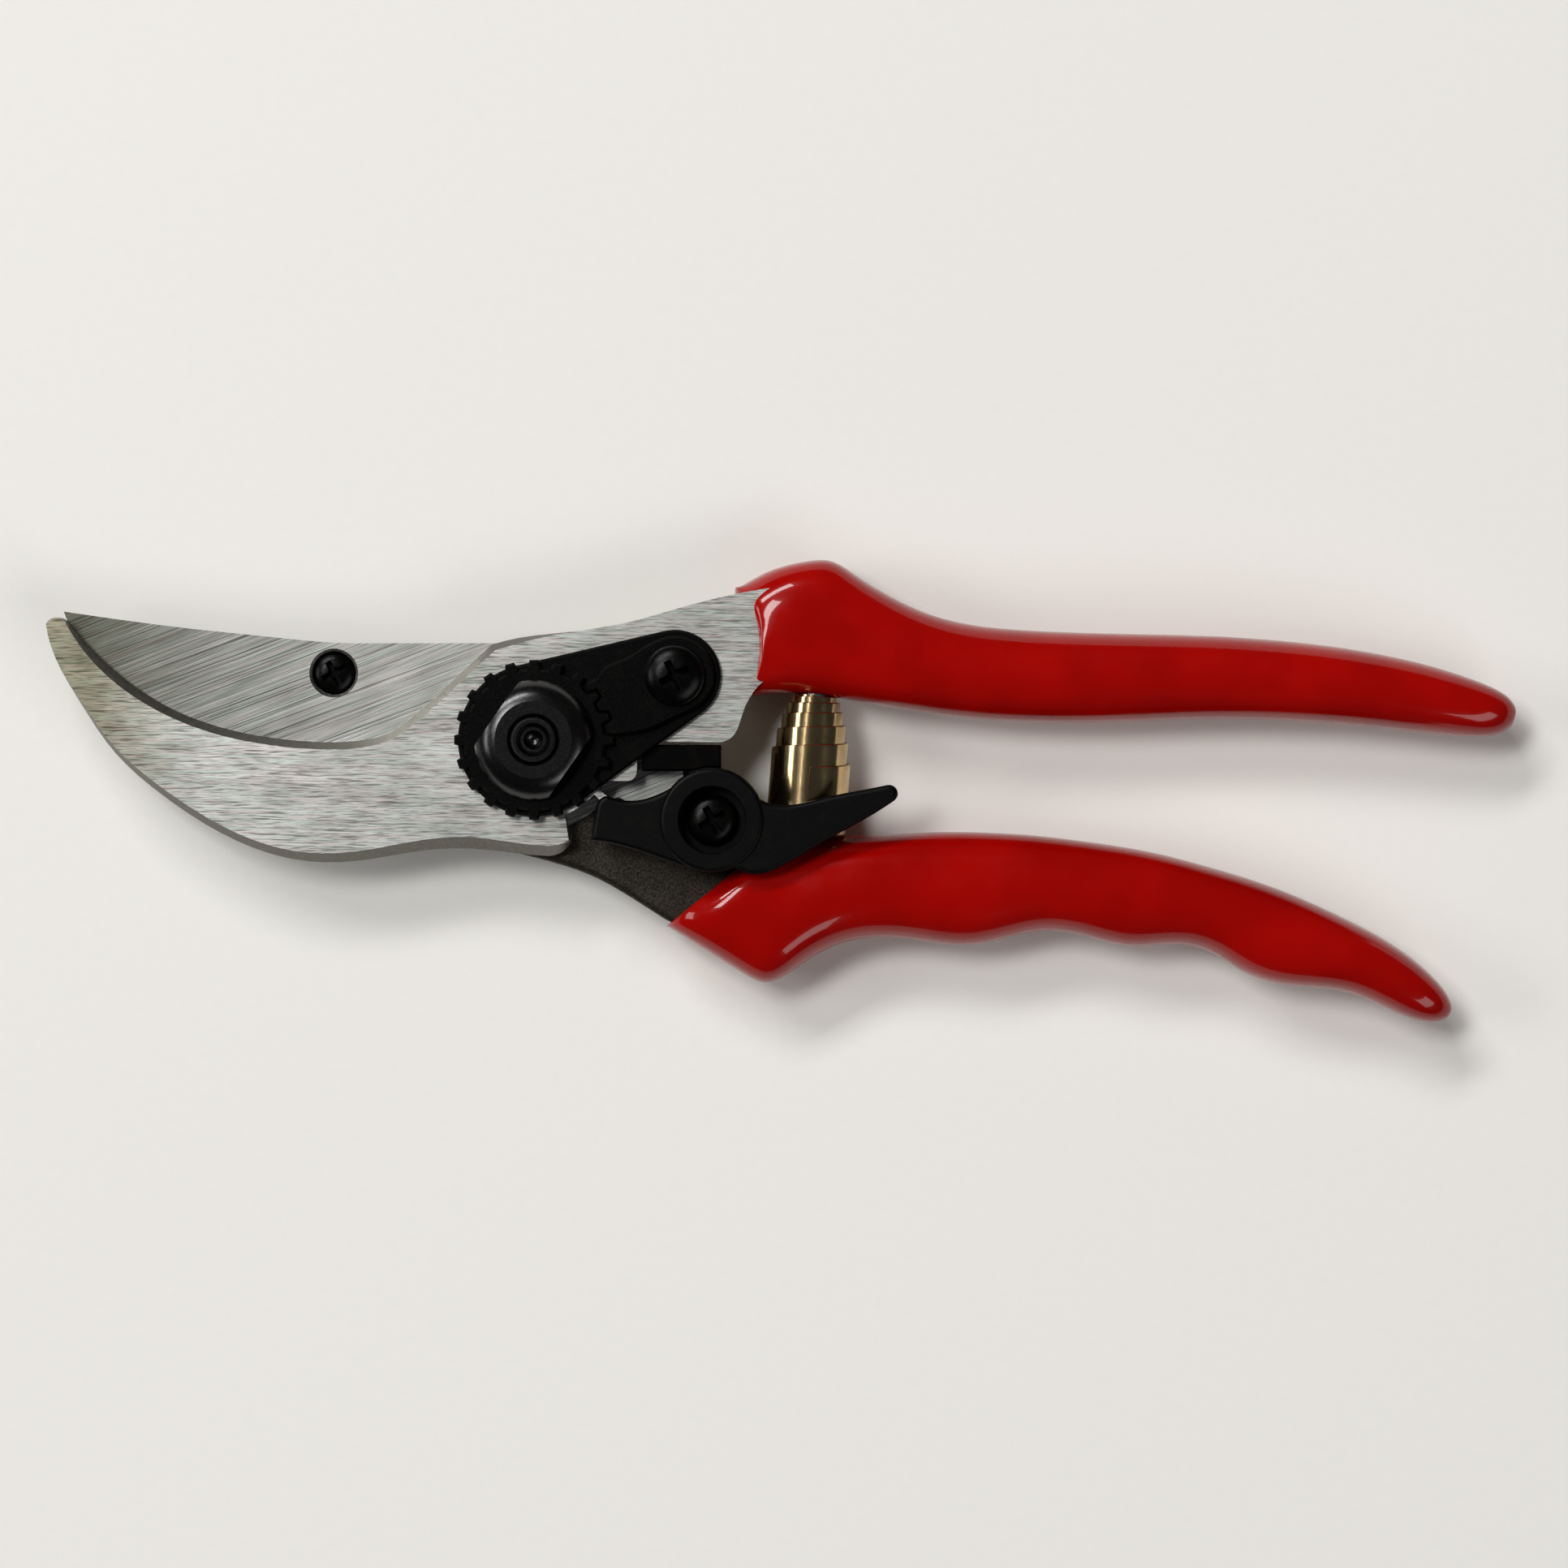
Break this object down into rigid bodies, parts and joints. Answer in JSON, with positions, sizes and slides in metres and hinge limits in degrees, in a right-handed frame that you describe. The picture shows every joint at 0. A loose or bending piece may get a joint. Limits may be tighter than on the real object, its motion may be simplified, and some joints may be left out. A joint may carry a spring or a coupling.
{
  "type": "pruning shears",
  "caption": "Bypass pruning shears with dipped grips, a volute spring, a thumb latch and a toothed lock for the pivot nut, closed and lying flat.",
  "frame": {"origin": "centre of the pivot bolt head's outer face, on the plane the shears lie on", "axes": "+X from the pivot towards the handle ends, +Y towards the upper handle, +Z along the pivot, from the bolt head to the nut"},
  "size_m": [0.2, 0.0633, 0.0176],
  "materials": {
    "brushed_steel": "brushed along the plate",
    "blade_steel": "ground on the slant",
    "forged_steel": "blasted, matt",
    "red_vinyl": "dipped, glossy",
    "black_oxide": "black oxide, satin",
    "latch_black": "fine texture, matt",
    "black_rubber": "moulded",
    "spring_plate": "bright plated",
    "bronze": "turned",
    "washer_steel": "turned"
  },
  "bodies": {
    "lower_side": {"blade": "blade_steel", "blade_screw": "black_oxide", "lower_body": "forged_steel", "lower_grip": "red_vinyl", "pivot_bush": "bronze", "thrust_washer": "washer_steel", "latch_washer": "washer_steel", "latch_screw": "black_oxide", "cushion": "black_rubber", "lower_spring_stud": "washer_steel", "volute_spring": "spring_plate"},
    "upper_side": {"hook_body": "brushed_steel", "upper_grip": "red_vinyl", "pivot_bolt": "black_oxide", "base_plate": "black_oxide", "toothed_wheel": "black_oxide", "pivot_nut": "black_oxide", "keeper": "black_oxide", "keeper_screw": "black_oxide", "upper_spring_stud": "washer_steel"},
    "latch": {"latch": "latch_black"}
  },
  "joints": [
    {"name": "blade_pivot", "type": "hinge", "parent": "lower_side", "child": "upper_side", "pos_m": [0, 0, 0.008], "axis": [0, 0, 1], "range_deg": [0, 25], "deforming": ["volute_spring"]},
    {"name": "latch_pivot", "type": "hinge", "parent": "lower_side", "child": "latch", "pos_m": [0.02403, -0.0108, 0.012], "axis": [0, 0, 1], "range_deg": [-7.75, 22]}
  ]
}
